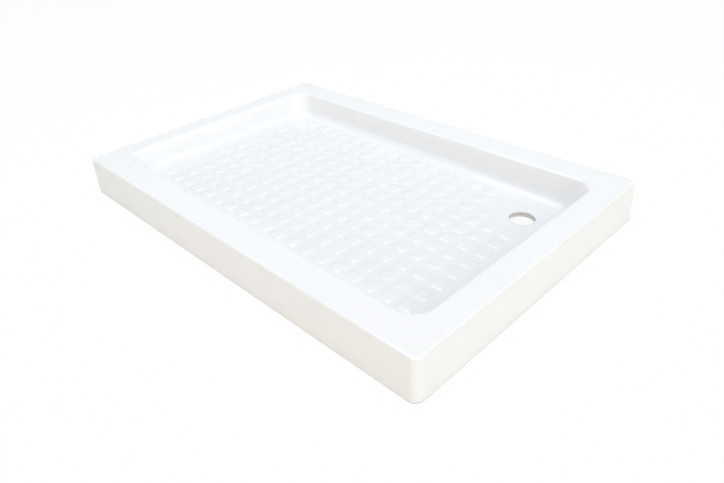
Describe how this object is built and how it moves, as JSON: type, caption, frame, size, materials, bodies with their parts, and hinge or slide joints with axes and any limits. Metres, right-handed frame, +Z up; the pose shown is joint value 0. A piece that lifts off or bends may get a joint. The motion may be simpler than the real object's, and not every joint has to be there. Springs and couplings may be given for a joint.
{
  "type": "shower tray",
  "caption": "Rectangular shower tray with its own skirt, a studded floor that falls to an offset waste hole, and screw feet for levelling.",
  "frame": {"origin": "centre of the skirt's foot outline, on the floor", "axes": "+X along the long side towards the waste end, +Y across towards the waste corner, +Z up"},
  "size_m": [1.2, 0.8, 0.1],
  "materials": {
    "white_acrylic": "moulded, polished",
    "glass_fibre_laminate": "sprayed chopped glass and resin, rough",
    "chipboard": "sanded board, resin sealed",
    "softwood": "planed",
    "zinc_steel": "bright zinc plated",
    "white_polymer": "moulded, satin",
    "black_polymer": "moulded, satin"
  },
  "bodies": {
    "tray": {"tray_shell": "white_acrylic", "laminate_backing": "glass_fibre_laminate", "baseboard": "chipboard", "waste_ring": "white_polymer", "batten_near": "softwood", "batten_far": "softwood", "batten_left": "softwood", "batten_right": "softwood", "leg_plate_near_left": "zinc_steel", "leg_plate_near_mid": "zinc_steel", "leg_plate_near_right": "zinc_steel", "leg_plate_far_left": "zinc_steel", "leg_plate_far_mid": "zinc_steel", "leg_plate_far_right": "zinc_steel", "leg_lock_nuts": "zinc_steel", "plate_screws": "zinc_steel", "floor_inserts": "zinc_steel"},
    "pad_near_left": {"leg_pad_near_left": "black_polymer"},
    "stud_near_left": {"leg_stud_near_left": "zinc_steel"},
    "pad_near_mid": {"leg_pad_near_mid": "black_polymer"},
    "stud_near_mid": {"leg_stud_near_mid": "zinc_steel"},
    "pad_near_right": {"leg_pad_near_right": "black_polymer"},
    "stud_near_right": {"leg_stud_near_right": "zinc_steel"},
    "pad_far_left": {"leg_pad_far_left": "black_polymer"},
    "stud_far_left": {"leg_stud_far_left": "zinc_steel"},
    "pad_far_mid": {"leg_pad_far_mid": "black_polymer"},
    "stud_far_mid": {"leg_stud_far_mid": "zinc_steel"},
    "pad_far_right": {"leg_pad_far_right": "black_polymer"},
    "stud_far_right": {"leg_stud_far_right": "zinc_steel"},
    "pad_floor_left": {"leg_pad_floor_left": "black_polymer"},
    "stud_floor_left": {"leg_stud_floor_left": "zinc_steel"},
    "pad_floor_mid": {"leg_pad_floor_mid": "black_polymer"},
    "stud_floor_mid": {"leg_stud_floor_mid": "zinc_steel"},
    "pad_floor_right": {"leg_pad_floor_right": "black_polymer"},
    "stud_floor_right": {"leg_stud_floor_right": "zinc_steel"}
  },
  "joints": [
    {"name": "foot_near_left_travel", "type": "slide", "parent": "tray", "child": "pad_near_left", "axis": [0, 0, -1], "range_m": [-0.005, 0.01]},
    {"name": "foot_near_left_screw", "type": "hinge", "parent": "pad_near_left", "child": "stud_near_left", "pos_m": [-0.54094, -0.35894, 0.01], "axis": [0, 0, -1], "range_deg": [-1200, 2400]},
    {"name": "foot_near_mid_travel", "type": "slide", "parent": "tray", "child": "pad_near_mid", "axis": [0, 0, -1], "range_m": [-0.005, 0.01]},
    {"name": "foot_near_mid_screw", "type": "hinge", "parent": "pad_near_mid", "child": "stud_near_mid", "pos_m": [0, -0.35894, 0.01], "axis": [0, 0, -1], "range_deg": [-1200, 2400]},
    {"name": "foot_near_right_travel", "type": "slide", "parent": "tray", "child": "pad_near_right", "axis": [0, 0, -1], "range_m": [-0.005, 0.01]},
    {"name": "foot_near_right_screw", "type": "hinge", "parent": "pad_near_right", "child": "stud_near_right", "pos_m": [0.54094, -0.35894, 0.01], "axis": [0, 0, -1], "range_deg": [-1200, 2400]},
    {"name": "foot_far_left_travel", "type": "slide", "parent": "tray", "child": "pad_far_left", "axis": [0, 0, -1], "range_m": [-0.005, 0.01]},
    {"name": "foot_far_left_screw", "type": "hinge", "parent": "pad_far_left", "child": "stud_far_left", "pos_m": [-0.54094, 0.35894, 0.01], "axis": [0, 0, -1], "range_deg": [-1200, 2400]},
    {"name": "foot_far_mid_travel", "type": "slide", "parent": "tray", "child": "pad_far_mid", "axis": [0, 0, -1], "range_m": [-0.005, 0.01]},
    {"name": "foot_far_mid_screw", "type": "hinge", "parent": "pad_far_mid", "child": "stud_far_mid", "pos_m": [0, 0.35894, 0.01], "axis": [0, 0, -1], "range_deg": [-1200, 2400]},
    {"name": "foot_far_right_travel", "type": "slide", "parent": "tray", "child": "pad_far_right", "axis": [0, 0, -1], "range_m": [-0.005, 0.01]},
    {"name": "foot_far_right_screw", "type": "hinge", "parent": "pad_far_right", "child": "stud_far_right", "pos_m": [0.54094, 0.35894, 0.01], "axis": [0, 0, -1], "range_deg": [-1200, 2400]},
    {"name": "foot_floor_left_travel", "type": "slide", "parent": "tray", "child": "pad_floor_left", "axis": [0, 0, -1], "range_m": [-0.0025, 0.004]},
    {"name": "foot_floor_left_screw", "type": "hinge", "parent": "pad_floor_left", "child": "stud_floor_left", "pos_m": [-0.30001, 0, 0.01], "axis": [0, 0, -1], "range_deg": [-600, 960]},
    {"name": "foot_floor_mid_travel", "type": "slide", "parent": "tray", "child": "pad_floor_mid", "axis": [0, 0, -1], "range_m": [-0.0025, 0.004]},
    {"name": "foot_floor_mid_screw", "type": "hinge", "parent": "pad_floor_mid", "child": "stud_floor_mid", "pos_m": [-0.025, 0, 0.01], "axis": [0, 0, -1], "range_deg": [-600, 960]},
    {"name": "foot_floor_right_travel", "type": "slide", "parent": "tray", "child": "pad_floor_right", "axis": [0, 0, -1], "range_m": [-0.0025, 0.004]},
    {"name": "foot_floor_right_screw", "type": "hinge", "parent": "pad_floor_right", "child": "stud_floor_right", "pos_m": [0.25001, 0, 0.01], "axis": [0, 0, -1], "range_deg": [-600, 960]}
  ],
  "couplings": [
    {"joint": "foot_near_left_screw", "follows": "foot_near_left_travel", "rad_per_m": 4188.8},
    {"joint": "foot_near_mid_screw", "follows": "foot_near_mid_travel", "rad_per_m": 4188.8},
    {"joint": "foot_near_right_screw", "follows": "foot_near_right_travel", "rad_per_m": 4188.8},
    {"joint": "foot_far_left_screw", "follows": "foot_far_left_travel", "rad_per_m": 4188.8},
    {"joint": "foot_far_mid_screw", "follows": "foot_far_mid_travel", "rad_per_m": 4188.8},
    {"joint": "foot_far_right_screw", "follows": "foot_far_right_travel", "rad_per_m": 4188.8},
    {"joint": "foot_floor_left_screw", "follows": "foot_floor_left_travel", "rad_per_m": 4188.8},
    {"joint": "foot_floor_mid_screw", "follows": "foot_floor_mid_travel", "rad_per_m": 4188.8},
    {"joint": "foot_floor_right_screw", "follows": "foot_floor_right_travel", "rad_per_m": 4188.8}
  ]
}
